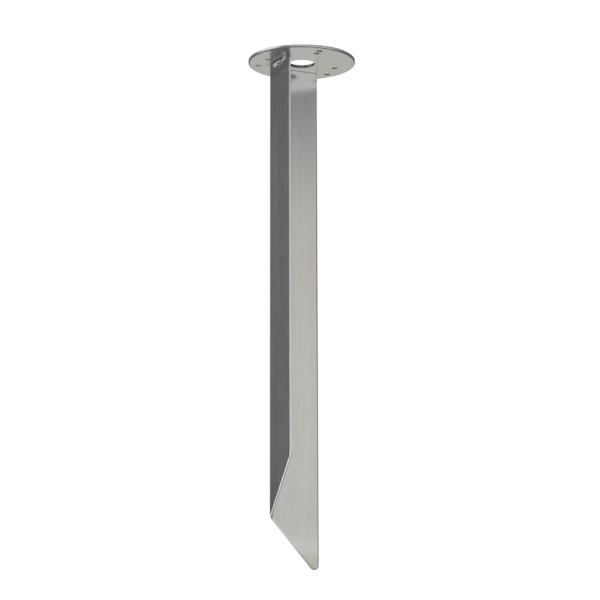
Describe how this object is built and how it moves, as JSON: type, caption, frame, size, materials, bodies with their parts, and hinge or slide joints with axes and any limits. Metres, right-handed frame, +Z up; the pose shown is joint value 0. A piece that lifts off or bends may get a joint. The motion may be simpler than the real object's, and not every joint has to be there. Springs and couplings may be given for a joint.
{
  "type": "ground spike",
  "caption": "Galvanised steel ground spike: a folded angle blade with an oblique point, welded under a round mounting plate with a central cable hole and screw holes.",
  "frame": {"origin": "centre of the cable hole at the mounting plate's top face", "axes": "+Z up out of the mounting plate, blade along -Z; +X along the leg that carries the point, which stands on the +Y side; the other leg runs along -Y on the -X side"},
  "size_m": [0.106, 0.106, 0.5],
  "materials": {
    "zinc_plate": "bright zinc, satin",
    "zinc_blade": "bright zinc, satin with a fine lengthwise grain",
    "weld_metal": "weld bead under zinc, slightly rough"
  },
  "bodies": {
    "root": {"mounting_plate": "zinc_plate", "spike_blade": "zinc_blade", "weld_bead_side": "weld_metal", "weld_bead_back": "weld_metal"}
  },
  "joints": []
}
